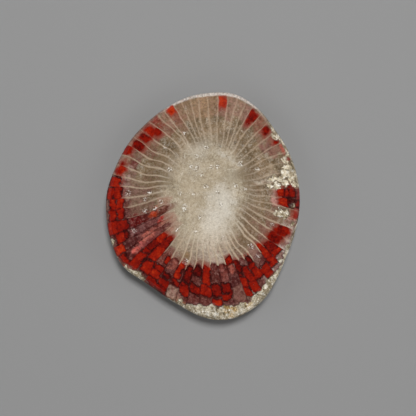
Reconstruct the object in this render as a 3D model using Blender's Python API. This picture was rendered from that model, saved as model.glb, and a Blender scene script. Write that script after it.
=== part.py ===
"""A polished slice of a fossil horn coral, lying on its sawn back with the polished face up.

The slice is one solid stone. Its face is slightly crowned and rolls over into the wall, its wall
keeps some of the coral's own skin with growth wrinkles, and pale rough rind shows in pits along
part of the rim, where the polish does not reach.
"""

import math

import bpy
from mathutils import Vector, noise

MM = 0.001

# Outline of the slice seen from above, in millimetres, anticlockwise from the left
OUTLINE = (
    (-16.1, 2.0), (-16.0, -3.1), (-14.9, -7.3), (-13.1, -10.4), (-9.8, -12.7), (-5.3, -15.8),
    (-0.2, -18.5), (4.1, -19.0), (8.2, -17.3), (11.3, -14.1), (14.1, -8.1), (15.7, -3.2),
    (16.2, 1.2), (15.6, 5.6), (14.1, 9.5), (12.2, 12.5), (9.5, 16.0), (5.9, 18.5),
    (2.2, 19.0), (-2.6, 18.2), (-7.4, 15.6), (-11.8, 11.4), (-14.5, 6.8),
)
# The coral's own axis, where its septa point; bearings and insets are measured from it
AXIS = (1.4, 2.7)

# Thickness at the crown, and how the polished face and the edges are shaped
THICKNESS = 6.0
CROWN_RISE = 0.6
ROLL_WIDTH = 0.6
ROLL_DROP = 0.75
BASE_INSET = 0.55
BASE_ROUND = 0.9

# Width of the rough rind measured in from the rim, as (bearing in degrees, millimetres)
RIND_WIDTHS = (
    (-180, 0.0), (-151, 0.0), (-144, 0.3), (-139, 0.8), (-129, 0.8), (-124, 0.3), (-116, 0.3),
    (-108, 1.2), (-98, 1.9), (-90, 2.3), (-84, 2.4), (-78, 2.1), (-72, 1.5), (-67, 1.9), (-62, 1.7),
    (-57, 1.4), (-52, 0.8), (-46, 0.5), (-33, 0.4), (-20, 0.45), (-8, 0.35), (2, 1.2), (8, 2.4),
    (16, 2.6), (24, 1.2), (34, 0.3), (45, 0.7), (52, 0.2), (60, 0.0), (180, 0.0),
)
RIND_SINK = 0.42
RIND_SOFT = 0.5
PIT_SPACING = 1.5

# The natural skin of the wall, from one bearing to the other through the lower right
SKIN_FROM = -150.0
SKIN_TO = 62.0
SKIN_FADE = 18.0
WRINKLE_PITCH = 1.45
WRINKLE_DEPTH = 0.11
LUMP_DEPTH = 0.16
LUMP_SPACING = 3.2

# How finely the solid is faceted
SEGMENTS = 144
OUTLINE_STEPS = 24
BASE_STEPS = 2
WALL_STEPS = 6
ROLL_STEPS = 5
FACE_INSETS = (0.9, 1.3, 1.7, 2.1, 2.6, 3.2, 4.0, 5.2, 7.2)
INNER_SHARES = (0.68, 0.34)


def smooth_step(value):
    """0 below 0, 1 above 1 and a smooth slope between."""
    share = min(max(value, 0.0), 1.0)
    return share * share * (3.0 - 2.0 * share)


def rounded_outline():
    """Points of the closed Catmull-Rom curve through the outline, OUTLINE_STEPS to each stretch."""
    points = [Vector(p) for p in OUTLINE]
    count = len(points)
    curve = []
    for i in range(count):
        before, here = points[i - 1], points[i]
        there, after = points[(i + 1) % count], points[(i + 2) % count]
        for step in range(OUTLINE_STEPS):
            t = step / OUTLINE_STEPS
            bend = (before * 2 - here * 5 + there * 4 - after) * t * t
            twist = (here * 3 - before - there * 3 + after) * t * t * t
            curve.append((here * 2 + (there - before) * t + bend + twist) / 2)
    return curve


def reach_table():
    """(bearing in degrees, distance from the axis to the outline), sorted by bearing, one turn."""
    axis = Vector(AXIS)
    rows = []
    for point in rounded_outline():
        arm = point - axis
        rows.append((math.degrees(math.atan2(arm.y, arm.x)), arm.length))
    rows.sort()
    first, last = rows[0], rows[-1]
    return [(last[0] - 360, last[1])] + rows + [(first[0] + 360, first[1])]


def table_value(rows, bearing):
    """Value at a bearing between -180 and 180, on straight lines between the rows."""
    for (a, low), (b, high) in zip(rows, rows[1:]):
        if a <= bearing <= b:
            return low + (high - low) * (bearing - a) / max(b - a, 1e-9)
    return rows[-1][1]


def skin_share(bearing):
    """How much of the coral's natural skin the wall keeps at this bearing, 0 where it is polished."""
    starts = smooth_step((bearing - SKIN_FROM) / SKIN_FADE)
    ends = smooth_step((SKIN_TO - bearing) / SKIN_FADE)
    return starts * ends


def rind_relief(bearing, inset, x, y):
    """How far the rough rind lies under the polished face, in millimetres."""
    width = table_value(RIND_WIDTHS, bearing)
    share = smooth_step((width - inset) / RIND_SOFT + 0.5) * smooth_step(width / RIND_SOFT)
    lumps = noise.noise(Vector((x, y, 0.0)) / PIT_SPACING)
    return RIND_SINK * share * (0.55 + 0.9 * lumps)


def face_height(reach, inset):
    """Height of the polished face, crowned in the middle and rolled over at the rim."""
    along = (reach - inset) / reach
    crown = CROWN_RISE * (1.0 - along * along)
    inside = max(1.0 - inset / ROLL_WIDTH, 0.0)
    roll = ROLL_DROP * (1.0 - math.sqrt(max(1.0 - inside * inside, 0.0)))
    return THICKNESS - CROWN_RISE + crown - roll


def wall_inset(bearing, height):
    """How far the wall lies inside the outline: wrinkled where natural, rounded at the base."""
    skin = skin_share(bearing)
    turn = math.radians(bearing)
    lump = noise.noise(Vector((math.cos(turn) * 15, math.sin(turn) * 15, height)) / LUMP_SPACING)
    swing = math.sin(2 * math.pi * height / WRINKLE_PITCH + 2.5 * lump)
    wrinkle = WRINKLE_DEPTH * (1.0 + swing) / 2 + LUMP_DEPTH * (0.5 + lump)
    below = max(1.0 - height / BASE_ROUND, 0.0)
    base = BASE_INSET * below * below
    top = THICKNESS - CROWN_RISE - ROLL_DROP
    faded = smooth_step((top - height) / BASE_ROUND) * (1.0 - below)
    return base + max(wrinkle, 0.0) * skin * faded


def rows_of_the_solid():
    """(kind, value) of each ring, from the edge of the flat back up the wall and over the face."""
    top = THICKNESS - CROWN_RISE - ROLL_DROP
    rows = [("wall", BASE_ROUND * step / BASE_STEPS) for step in range(BASE_STEPS)]
    rows += [
        ("wall", BASE_ROUND + (top - BASE_ROUND) * step / WALL_STEPS)
        for step in range(WALL_STEPS + 1)
    ]
    for step in range(1, ROLL_STEPS + 1):
        turn = math.pi / 2 * step / ROLL_STEPS
        rows.append(("face", ROLL_WIDTH * (1.0 - math.cos(turn))))
    rows += [("face", inset) for inset in FACE_INSETS]
    rows += [("share", share) for share in INNER_SHARES]
    return rows


def ring_points(kind, value, reaches):
    """The points of one ring, in metres."""
    points = []
    for bearing, reach in reaches:
        if kind == "wall":
            inset, height = wall_inset(bearing, value), value
        else:
            inset = value
            if kind == "share":
                inset = reach - (reach - FACE_INSETS[-1]) * value
            height = face_height(reach, inset)
        turn = math.radians(bearing)
        x = AXIS[0] + (reach - inset) * math.cos(turn)
        y = AXIS[1] + (reach - inset) * math.sin(turn)
        if kind != "wall":
            height -= rind_relief(bearing, inset, x, y)
        points.append(Vector((x, y, height)) * MM)
    return points


def slice_mesh():
    """The closed mesh: rings bridged with quads, and a fan at the crown and at the flat back."""
    table = reach_table()
    bearings = [-180.0 + 360.0 * i / SEGMENTS for i in range(SEGMENTS)]
    reaches = [(bearing, table_value(table, bearing)) for bearing in bearings]
    rings = [ring_points(kind, value, reaches) for kind, value in rows_of_the_solid()]
    points = [point for ring in rings for point in ring]
    faces = []
    for row in range(len(rings) - 1):
        for i in range(SEGMENTS):
            j = (i + 1) % SEGMENTS
            low, high = row * SEGMENTS, (row + 1) * SEGMENTS
            faces.append((low + i, low + j, high + j, high + i))
    crown, back = len(points), len(points) + 1
    points.append(Vector((AXIS[0], AXIS[1], THICKNESS)) * MM)
    points.append(Vector((AXIS[0], AXIS[1], 0.0)) * MM)
    last = (len(rings) - 1) * SEGMENTS
    for i in range(SEGMENTS):
        j = (i + 1) % SEGMENTS
        faces.append((last + i, last + j, crown))
        faces.append((j, i, back))
    mesh = bpy.data.meshes.new("coral_slice")
    mesh.from_pydata(points, [], faces)
    mesh.validate()
    return mesh


def coral_material():
    """Polished chalcedony, beige with a red cast."""
    material = bpy.data.materials.new("polished_coral")
    material.use_nodes = True
    shader = material.node_tree.nodes["Principled BSDF"]
    shader.inputs["Base Color"].default_value = (0.42, 0.24, 0.17, 1.0)
    shader.inputs["Roughness"].default_value = 0.18
    shader.inputs["Metallic"].default_value = 0.0
    return material


def clear_scene():
    """Removes the objects that a new scene comes with."""
    for obj in list(bpy.data.objects):
        bpy.data.objects.remove(obj, do_unlink=True)


def build():
    """Makes the one solid of the slice, standing on its flat back at the origin."""
    clear_scene()
    mesh = slice_mesh()
    mesh.materials.append(coral_material())
    mesh.shade_smooth()
    mesh.set_sharp_from_angle(angle=math.radians(40))
    stone = bpy.data.objects.new("coral_slice", mesh)
    bpy.context.scene.collection.objects.link(stone)


build()
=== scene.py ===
import math

import bpy
import numpy as np
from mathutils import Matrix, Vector, noise


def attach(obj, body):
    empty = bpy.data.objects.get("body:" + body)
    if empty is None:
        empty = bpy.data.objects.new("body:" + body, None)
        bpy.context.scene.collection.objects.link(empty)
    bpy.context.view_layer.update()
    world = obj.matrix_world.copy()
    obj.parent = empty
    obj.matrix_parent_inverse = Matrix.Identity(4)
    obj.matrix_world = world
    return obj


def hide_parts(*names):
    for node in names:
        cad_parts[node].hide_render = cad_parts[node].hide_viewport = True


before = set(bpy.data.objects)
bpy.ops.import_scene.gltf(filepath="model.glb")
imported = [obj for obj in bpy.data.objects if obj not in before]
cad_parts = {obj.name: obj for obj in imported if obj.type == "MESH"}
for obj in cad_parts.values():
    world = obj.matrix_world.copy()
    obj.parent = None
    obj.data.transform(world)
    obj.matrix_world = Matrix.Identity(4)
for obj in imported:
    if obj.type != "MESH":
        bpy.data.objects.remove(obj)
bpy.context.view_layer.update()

# The form of the slice, in millimetres. It is one stone: a horn coral that turned to agate, sawn
# across, lapped to a low crown on its face, rolled over at the rim and left flat and sawn behind.
OUTLINE = (
    (-16.1, 2.0), (-16.0, -3.1), (-14.9, -7.3), (-13.1, -10.4), (-9.8, -12.7), (-5.3, -15.8),
    (-0.2, -18.5), (4.1, -19.0), (8.2, -17.3), (11.3, -14.1), (14.1, -8.1), (15.7, -3.2),
    (16.2, 1.2), (15.6, 5.6), (14.1, 9.5), (12.2, 12.5), (9.5, 16.0), (5.9, 18.5),
    (2.2, 19.0), (-2.6, 18.2), (-7.4, 15.6), (-11.8, 11.4), (-14.5, 6.8),
)
OUTLINE_STEPS = 24
AXIS = (1.4, 2.7)
THICKNESS = 6.0
CROWN_RISE = 0.6
ROLL_WIDTH = 0.6
ROLL_DROP = 0.75
RIM_HEIGHT = THICKNESS - CROWN_RISE - ROLL_DROP
BASE_INSET = 0.55
BASE_ROUND = 0.9


def outline_reach(bearing):
    """Distance from the coral's axis to the rounded outline at each bearing, in millimetres."""
    points = [np.array(p) for p in OUTLINE]
    count = len(points)
    curve = []
    for i in range(count):
        before, here = points[i - 1], points[i]
        there, after = points[(i + 1) % count], points[(i + 2) % count]
        for t in np.arange(OUTLINE_STEPS) / OUTLINE_STEPS:
            bend = (2 * before - 5 * here + 4 * there - after) * t * t
            twist = (3 * here - before - 3 * there + after) * t * t * t
            curve.append((2 * here + (there - before) * t + bend + twist) / 2)
    arms = np.array(curve) - AXIS
    turns = np.degrees(np.arctan2(arms[:, 1], arms[:, 0]))
    return np.interp(bearing, turns, np.hypot(arms[:, 0], arms[:, 1]), period=360.0)


def point_at(bearing, radius):
    """The x and y of points at these bearings and distances from the coral's axis."""
    turn = np.radians(bearing)
    return AXIS[0] + radius * np.cos(turn), AXIS[1] + radius * np.sin(turn)


# The chambers of the coral. 58 septa, thin walls of pale chalcedony, stand round the axis, and the
# chamber after each septum is filled with agate. Each row is one chamber, anticlockwise from the
# right: its septum's bearing at the rim, how many degrees that septum bends on its way in, how deep
# the wine-red agate reaches, and its blocks of red agate, from the rim inwards. A block is
# (start, end, tone, left, right): millimetres in from the rim, 0 for dark to 1 for ember, and the
# shares of the chamber's breadth where its sides are.
CHAMBERS = (
    (0.5, 0.0, 0.0, ((1.0, 2.7, 0.3, 0.0, 0.22),)),
    (7.0, 0.0, 0.0, ()),
    (13.5, 1.0, 0.0, ()),
    (20.5, 2.0, 0.0, ((0.3, 0.85, 0.45, -0.2, 0.3),)),
    (27.0, 3.0, 0.0, ()),
    (34.5, 2.0, 0.0, ((0.6, 1.45, 0.45, 0.02, 0.45),)),
    (42.5, 3.5, 0.0, ((0.9, 2.0, 0.35, 0.18, 0.88),)),
    (50.0, 3.5, 0.0, ()),
    (56.5, 4.5, 0.0, (
        (0.85, 2.2, 0.45, 0.08, 0.98), (1.3, 2.7, 0.3, 0.05, 0.8), (2.1, 3.3, 0.5, 0.25, 0.8),
    )),
    (63.5, 2.5, 0.0, ()),
    (69.0, 0.0, 0.0, ()),
    (74.5, -1.0, 0.0, ()),
    (80.5, -2.5, 0.0, ((0.95, 2.65, 0.9, 0.1, 0.95),)),
    (86.0, -1.2, 0.0, ()),
    (92.5, -1.5, 0.0, ()),
    (98.0, 0.0, 0.0, ()),
    (103.5, -1.5, 0.0, ()),
    (109.0, -3.0, 0.0, ()),
    (114.5, -4.0, 0.0, ((0.3, 1.5, 1.0, 0.0, 0.75),)),
    (120.5, -2.0, 0.0, ()),
    (125.5, -4.5, 0.0, ()),
    (132.5, -4.5, 0.0, ((0.75, 2.4, 0.65, 0.3, 0.88), (1.9, 2.9, 0.5, 0.0, 0.62))),
    (139.5, -1.5, 0.0, ((0.9, 2.5, 0.4, 0.02, 0.72),)),
    (145.5, 1.0, 0.0, ((0.8, 2.6, 0.25, 0.02, 0.92),)),
    (151.5, 2.2, 0.0, ((0.15, 1.2, 0.55, 0.02, 0.95),)),
    (158.5, 2.2, 0.0, ((0.45, 1.3, 0.5, 0.7, 1.05),)),
    (165.0, 2.8, 0.0, ((0.45, 1.7, 0.6, -0.05, 0.78),)),
    (171.0, 2.8, 2.1, ((0.25, 1.75, 0.7, 0.22, 1.0),)),
    (178.0, 1.0, 2.9, ((0.25, 1.1, 0.6, 0.1, 0.95), (1.5, 2.4, 0.6, 0.06, 0.95))),
    (185.5, 0.0, 3.6, ((0.85, 1.6, 0.6, 0.06, 0.92), (2.02, 2.9, 0.75, 0.06, 0.92))),
    (191.5, -0.5, 4.0, ((0.7, 1.6, 0.6, 0.08, 0.94), (2.02, 2.95, 0.65, 0.06, 0.9))),
    (198.0, 1.5, 10.8, ((0.1, 1.6, 0.65, 0.03, 0.92), (1.65, 3.35, 0.5, 0.12, 0.9))),
    (204.8, 2.0, 9.9, ((1.2, 2.45, 0.65, 0.1, 0.85), (2.6, 3.2, 0.3, 0.1, 0.8))),
    (210.8, 1.0, 10.5, ((0.2, 1.75, 0.85, 0.0, 0.86),)),
    (216.0, 0.0, 11.0, ((-0.3, 1.3, 0.5, 0.05, 1.0),)),
    (221.3, 0.0, 9.0, (
        (0.75, 2.65, 0.5, 0.05, 0.95), (2.85, 4.2, 0.7, 0.08, 0.8), (4.35, 5.1, 0.6, 0.12, 0.65),
        (5.1, 7.3, 0.25, 0.05, 0.85), (7.1, 8.9, 0.7, 0.08, 0.85),
    )),
    (227.0, -0.5, 8.9, (
        (1.55, 3.5, 0.65, 0.16, 0.95), (4.0, 6.6, 0.65, 0.1, 0.98), (6.4, 8.8, 0.4, 0.04, 0.75),
    )),
    (233.5, -1.0, 6.3, (
        (-0.3, 1.4, 0.4, -0.05, 0.97), (1.65, 2.75, 0.65, 0.05, 0.92), (3.05, 3.75, 0.5, 0.1, 0.9),
        (4.7, 5.8, 0.7, 0.62, 0.98),
    )),
    (240.0, -0.5, 6.4, (
        (0.3, 1.15, 0.35, 0.04, 0.94), (1.3, 2.3, 0.5, 0.05, 0.9), (2.75, 3.4, 0.35, 0.06, 0.8),
    )),
    (246.5, 0.0, 6.5, ((2.9, 3.4, 0.4, 0.0, 0.9), (3.7, 6.5, 0.7, 0.1, 0.62))),
    (252.0, 0.0, 7.2, (
        (2.05, 3.25, 0.55, 0.1, 1.04), (3.25, 3.7, 0.45, 0.1, 0.9), (4.2, 6.6, 0.2, 0.12, 0.9),
    )),
    (257.5, 0.0, 8.2, ((3.3, 4.6, 0.45, 0.1, 0.98), (6.2, 7.6, 0.1, 0.1, 0.85))),
    (264.0, 0.0, 8.8, ((3.75, 5.35, 0.55, 0.06, 0.92), (5.75, 8.6, 0.7, 0.12, 0.8))),
    (270.0, 0.0, 9.6, ((2.55, 3.4, 0.75, 0.05, 0.85), (4.1, 5.95, 0.35, 0.05, 0.96))),
    (276.0, -0.5, 9.5, ((3.4, 4.2, 0.5, 0.0, 0.85), (4.55, 6.0, 0.4, 0.06, 0.85))),
    (282.0, -0.5, 10.3, ((8.9, 10.0, 0.5, 0.12, 0.85),)),
    (288.0, -0.5, 9.0, (
        (2.2, 3.75, 0.6, -0.05, 0.75), (3.9, 5.5, 0.65, 0.0, 0.88), (5.8, 6.4, 0.4, 0.1, 0.6),
        (6.7, 8.7, 0.2, 0.06, 0.9),
    )),
    (292.5, -1.5, 8.4, (
        (1.9, 3.8, 0.6, -0.15, 0.98), (4.0, 5.4, 0.6, 0.08, 0.92), (5.3, 6.8, 0.5, 0.1, 0.85),
    )),
    (296.8, -1.5, 7.6, (
        (3.25, 5.0, 0.6, 0.12, 0.96), (5.15, 6.0, 0.5, 0.1, 0.9), (6.1, 7.4, 0.3, 0.3, 0.75),
    )),
    (302.0, -2.0, 5.8, ((1.4, 3.4, 0.55, 0.02, 0.94),)),
    (307.2, 1.5, 5.9, (
        (1.65, 2.3, 0.65, 0.08, 0.95), (2.4, 3.0, 0.65, 0.06, 0.9), (3.15, 5.85, 0.65, 0.1, 0.9),
    )),
    (313.7, -1.5, 4.6, ((1.75, 2.55, 0.65, 0.12, 0.96), (2.55, 4.5, 0.35, 0.14, 0.94))),
    (320.5, -1.5, 0.0, ((2.2, 4.35, 0.34, 0.04, 1.0),)),
    (327.0, 0.0, 0.0, ((1.2, 3.4, 0.4, -0.05, 1.0),)),
    (333.5, 0.0, 0.0, ()),
    (340.0, 0.0, 0.0, ((0.3, 0.75, 0.5, 0.05, 0.8),)),
    (346.5, 0.0, 3.3, (
        (0.2, 0.65, 0.4, 0.3, 0.9), (1.25, 2.3, 0.0, 0.3, 0.85), (2.1, 3.5, 0.7, 0.1, 0.82),
    )),
    (353.5, 0.0, 3.6, (
        (0.95, 1.75, 0.4, 0.18, 1.02), (1.95, 2.55, 0.5, 0.18, 1.02), (2.75, 3.7, 0.6, 0.2, 1.0),
    )),
)
BLOCKS_AT_MOST = 5
NO_BLOCK = (90.0, 80.0, 0.0, 0.0, 1.0)
COLUMNS_EACH = 12
BEND_DEPTH = 7.0
LEAST_RADIUS = 0.5

# The septa also wave a little, as (swing, layer of the noise, spacing). The waves come in over the
# first stretch from the rim and fade over the last one to the axis.
SEPTA_WAVES = ((0.3, 50.0, 3.2), (0.05, 60.0, 1.2))
WAVE_START = 1.2
WAVE_END = 5.0
# Their inner ends curl, as (bearing, degrees)
END_CURL = (
    (0, 0.0), (125, -0.5), (150, -2.8), (176, -3.0), (190, -1.0), (205, 0.0), (235, 0.0),
    (255, -2.0), (268, -3.5), (300, -3.2), (320, -1.5), (345, 0.0),
)
CURL_START = 12.0
CURL_LENGTH = 3.5

# Where the rows of chambers don't lie level with the rim, as (bearing, millimetres per chamber)
ROW_TILT = (
    (0, 0.0), (284, 0.0), (291, 0.9), (316, 0.9), (334, 0.6), (345, 0.0),
)

chamber_count = len(CHAMBERS)
column_count = chamber_count * COLUMNS_EACH
column_places = np.arange(column_count) / COLUMNS_EACH
septum_places = np.arange(chamber_count + 1)
septum_bearings = np.array([row[0] for row in CHAMBERS])
septum_bends = np.array([row[1] for row in CHAMBERS])
turn_ends = np.append(septum_bearings, septum_bearings[0] + 360.0)
bend_ends = np.append(septum_bends, septum_bends[0])
column_bearings = np.interp(column_places, septum_places, turn_ends)
column_bends = np.interp(column_places, septum_places, bend_ends)


def smooth_step(value):
    """0 below 0, 1 above 1 and a smooth slope between, for numbers or arrays."""
    share = np.clip(value, 0.0, 1.0)
    return share * share * (3.0 - 2.0 * share)


def lumps(x, y, z, spacing):
    """Smooth noise from about -1 to 1 at each point, with its lumps this far apart."""
    points = np.stack(np.broadcast_arrays(x, y, z), axis=-1) / spacing
    values = [noise.noise(point) for point in points.reshape(-1, 3).tolist()]
    return np.array(values).reshape(points.shape[:-1])


def uneven(x, y, swings):
    """The sum of lumps at each point, given as (swing, layer of the noise, spacing) rows."""
    return sum(swing * lumps(x, y, layer, spacing) for swing, layer, spacing in swings)


def by_bearing(rows, bearing):
    """The value at each bearing, on straight lines between (bearing, value) rows of one full turn."""
    bearings, values = zip(*rows)
    return np.interp(bearing, bearings, values, period=360.0)


def bent_bearings(inset):
    """The bearing of each column of the mesh this far in from the rim, along its septum."""
    bearing = column_bearings + column_bends * smooth_step(np.asarray(inset) / BEND_DEPTH)
    radius = np.maximum(outline_reach(bearing) - inset, LEAST_RADIUS)
    bearing = bearing + by_bearing(END_CURL, bearing) * smooth_step((CURL_START - radius) / CURL_LENGTH)
    swing = uneven(*point_at(bearing, radius), SEPTA_WAVES)
    swing = swing * smooth_step(np.asarray(inset) / WAVE_START) * smooth_step(radius / WAVE_END)
    return bearing + np.degrees(swing / radius)


# The rind. Where the polish doesn't reach, the coral's own rough pale limestone rind is left in
# pits along the rim, as wide as this at each bearing from -180 to 180.
RIND_WIDTHS = (
    (-180, 0.0), (-151, 0.0), (-144, 0.3), (-139, 0.8), (-129, 0.8), (-124, 0.3), (-116, 0.15),
    (-106, 0.4), (-101, 1.1), (-96, 1.9), (-90, 2.3), (-84, 2.4), (-78, 2.1), (-72, 1.5), (-67, 1.9),
    (-62, 1.7), (-57, 1.4), (-52, 0.8), (-46, 0.5), (-33, 0.4), (-20, 0.35), (-14, 0.0), (-1, 0.0),
    (4, 0.4), (9, 0.5), (16, 0.3), (24, 0.35), (34, 0.3), (45, 0.45), (52, 0.2), (60, 0.0), (180, 0.0),
)
# Crusts of rind that stand alone inside the rim, as (x, y, radius)
RIND_CRUSTS = (
    (12.1, 11.5, 0.6), (14.2, 8.6, 0.4), (13.6, 7.7, 0.6), (14.1, 6.5, 0.65), (13.8, 5.3, 0.85),
    (14.7, 4.5, 0.9), (15.2, 3.6, 0.65), (13.8, 3.9, 0.7), (12.4, 3.4, 0.65), (11.1, 3.3, 0.5),
    (11.1, 4.5, 0.4), (12.0, 4.7, 0.5), (12.8, 4.4, 0.5), (15.0, 0.1, 0.35), (12.1, -0.8, 0.4),
    (13.0, -1.0, 0.75), (13.8, -1.2, 0.75), (14.9, -3.0, 0.3), (14.2, -6.9, 0.3), (12.8, -9.2, 0.4),
    (-3.7, -16.0, 0.5), (-15.2, -6.0, 0.5),
)
# How uneven the edges and the ground of the rind are, as (swing, layer of the noise, spacing)
RIND_EDGE = ((0.45, 80.0, 1.1), (0.25, 85.0, 0.45))
CRUST_EDGE = ((0.8, 70.0, 0.9), (0.7, 75.0, 0.4))
PITS = ((0.9, 0.0, 1.5),)
RIND_GRAINS = ((1.0, 4.0, 0.42), (0.5, 9.0, 0.21))
RIND_SOFT = 0.5
CRUST_REACH = 1.5
CRUST_SHARE = 0.93
RIND_SINK = 0.42
PIT_SHARE = 0.55
GRAIN_DEPTH = 0.16
GRAIN_SHARE = 0.4


def signed(bearing):
    """The bearing as a number from -180 to 180."""
    return (np.asarray(bearing) + 180.0) % 360.0 - 180.0


def rind_share(bearing, inset, x, y):
    """1 on the rough rind, 0 on the polished face, with a soft uneven edge."""
    width = by_bearing(RIND_WIDTHS, signed(bearing))
    edge = width - inset + uneven(x, y, RIND_EDGE)
    share = smooth_step(edge / RIND_SOFT + 0.5) * smooth_step(width / RIND_SOFT)
    swing = uneven(x, y, CRUST_EDGE)
    for crust_x, crust_y, radius in RIND_CRUSTS:
        away = np.hypot(x - crust_x, y - crust_y) / radius + swing
        share = np.maximum(share, CRUST_SHARE * smooth_step(CRUST_REACH - away))
    return share


def rind_relief(bearing, inset, x, y):
    """How far the rough rind lies under the polished face, in millimetres, grains included."""
    pits = RIND_SINK * (PIT_SHARE + uneven(x, y, PITS))
    grains = GRAIN_DEPTH * (GRAIN_SHARE + uneven(x, y, RIND_GRAINS)) * smooth_step(inset / ROLL_WIDTH)
    return rind_share(bearing, inset, x, y) * (pits + grains)


# The wall. From one bearing to the other through the lower right it keeps the coral's own skin, with
# growth wrinkles that run round it and fine crinkles between. Elsewhere it is ground smooth.
SKIN_FROM = -150.0
SKIN_TO = 62.0
SKIN_FADE = 18.0
WALL_RADIUS = 15.0
WRINKLE_PITCH = 1.45
WRINKLE_DEPTH = 0.11
WRINKLE_SWAY = 2.5
LUMP_DEPTH = 0.16
LUMP_SPACING = 3.2
CRINKLE_PITCH = 0.36
CRINKLE_DEPTH = 0.05
CRINKLE_FLATNESS = 2.5


def skin_share(bearing):
    """How much of the natural skin the wall keeps at this bearing, 0 where it is polished."""
    turn = signed(bearing)
    return smooth_step((turn - SKIN_FROM) / SKIN_FADE) * smooth_step((SKIN_TO - turn) / SKIN_FADE)


def wall_inset(bearing, height):
    """How far the wall lies inside the outline: wrinkled where natural, rounded at the base."""
    turn = np.radians(bearing)
    x, y = np.cos(turn) * WALL_RADIUS, np.sin(turn) * WALL_RADIUS
    lump = lumps(x, y, height, LUMP_SPACING)
    swing = np.sin(2 * math.pi * height / WRINKLE_PITCH + WRINKLE_SWAY * lump)
    wrinkle = WRINKLE_DEPTH * (1.0 + swing) / 2 + LUMP_DEPTH * (0.5 + lump)
    long_crinkle = lumps(x, y, CRINKLE_FLATNESS * height, 3 * CRINKLE_PITCH)
    crinkle = long_crinkle + lumps(x, y, height, CRINKLE_PITCH) / 2
    wrinkle = np.maximum(wrinkle, 0.0) + CRINKLE_DEPTH * (1.0 + crinkle)
    below = np.maximum(1.0 - height / BASE_ROUND, 0.0)
    faded = smooth_step((RIM_HEIGHT - height) / BASE_ROUND) * (1.0 - below)
    return BASE_INSET * below * below + wrinkle * skin_share(bearing) * faded


# The mesh of the whole stone: rings from the middle of the back, up the wall and over the face to
# the crown. Its columns follow the septa, and its rows are finest in the outer part of the face.
BACK_SHARES = (0.12, 0.3, 0.48, 0.64, 0.78, 0.9)
WALL_ROWS = 24
ROLL_ROWS = 6
FINE_STEP = 0.13
FINE_DEPTH = 5.2
DEEP_STEP = 0.2
DEEP_DEPTH = 11.0
INNER_RINGS = 24
INNERMOST_SHARE = 0.05
MM = 0.001

rim_reach = outline_reach(column_bearings)
rings = []


def add_ring(kind, inset, height, bearing, across=None):
    """Keeps one ring: its surface, its inset for the pattern, where it lies across, and its height."""
    radius = outline_reach(bearing) - (inset if across is None else across)
    x, y = point_at(bearing, radius)
    rings.append({
        "kind": kind,
        "inset": np.broadcast_to(inset, column_count).astype(float),
        "bearing": bearing,
        "radius": radius,
        "x": x,
        "y": y,
        "z": np.broadcast_to(height, column_count).astype(float),
    })


def inner_insets(shares, from_inset):
    """Insets of rings that close in on the axis, each a share of what is left inside from_inset."""
    return [rim_reach - (rim_reach - from_inset) * share for share in shares]


def face_height(reach, inset):
    """Height of the polished face, crowned in the middle and rolled over at the rim."""
    along = (reach - inset) / reach
    inside = np.maximum(1.0 - inset / ROLL_WIDTH, 0.0)
    roll = ROLL_DROP * (1.0 - np.sqrt(1.0 - inside * inside))
    return THICKNESS - CROWN_RISE * along * along - roll


for inset in inner_insets(BACK_SHARES, BASE_INSET):
    add_ring("back", inset, 0.0, bent_bearings(inset))
for height in np.linspace(0.0, RIM_HEIGHT, WALL_ROWS):
    add_ring("wall", height - RIM_HEIGHT, height, column_bearings, wall_inset(column_bearings, height))
roll_turns = np.linspace(0.0, math.pi / 2, ROLL_ROWS + 1)[1:]
face_insets = list(ROLL_WIDTH * (1.0 - np.cos(roll_turns)))
face_insets += list(np.arange(ROLL_WIDTH + FINE_STEP, FINE_DEPTH, FINE_STEP))
face_insets += list(np.arange(FINE_DEPTH, DEEP_DEPTH, DEEP_STEP))
face_insets += inner_insets(np.linspace(1.0, INNERMOST_SHARE, INNER_RINGS + 1)[1:], DEEP_DEPTH)
for inset in face_insets:
    add_ring("face", inset, 0.0, bent_bearings(inset))
    ring = rings[-1]
    relief = rind_relief(ring["bearing"], inset, ring["x"], ring["y"])
    ring["z"] = face_height(ring["radius"] + inset, inset) - relief


def ring_values(name):
    """One value of every ring as an array of rings by columns."""
    return np.stack([ring[name] for ring in rings])


ring_x, ring_y, ring_z = ring_values("x"), ring_values("y"), ring_values("z")
ring_inset, ring_bearing = ring_values("inset"), ring_values("bearing")
ring_radius = ring_values("radius")
ring_count = len(rings)
back_centre = ring_count * column_count
crown_centre = back_centre + 1
points = np.stack((ring_x, ring_y, ring_z), axis=-1).reshape(-1, 3)
points = np.vstack((points, (AXIS[0], AXIS[1], 0.0), (AXIS[0], AXIS[1], THICKNESS)))

columns = np.arange(column_count)
after = (columns + 1) % column_count
faces = []
for row in range(ring_count - 1):
    low, high = row * column_count, (row + 1) * column_count
    quads = np.stack((low + columns, low + after, high + after, high + columns), axis=1)
    faces += quads.tolist()
faces += [(int(j), int(i), back_centre) for i, j in zip(columns, after)]
last = (ring_count - 1) * column_count
faces += [(int(last + i), int(last + j), crown_centre) for i, j in zip(columns, after)]

stone_mesh = bpy.data.meshes.new("polished_slice")
stone_mesh.from_pydata((points * MM).tolist(), [], faces)
stone_mesh.update()
stone_mesh.shade_smooth()
polished_slice = bpy.data.objects.new("polished_slice", stone_mesh)
bpy.context.scene.collection.objects.link(polished_slice)

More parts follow.
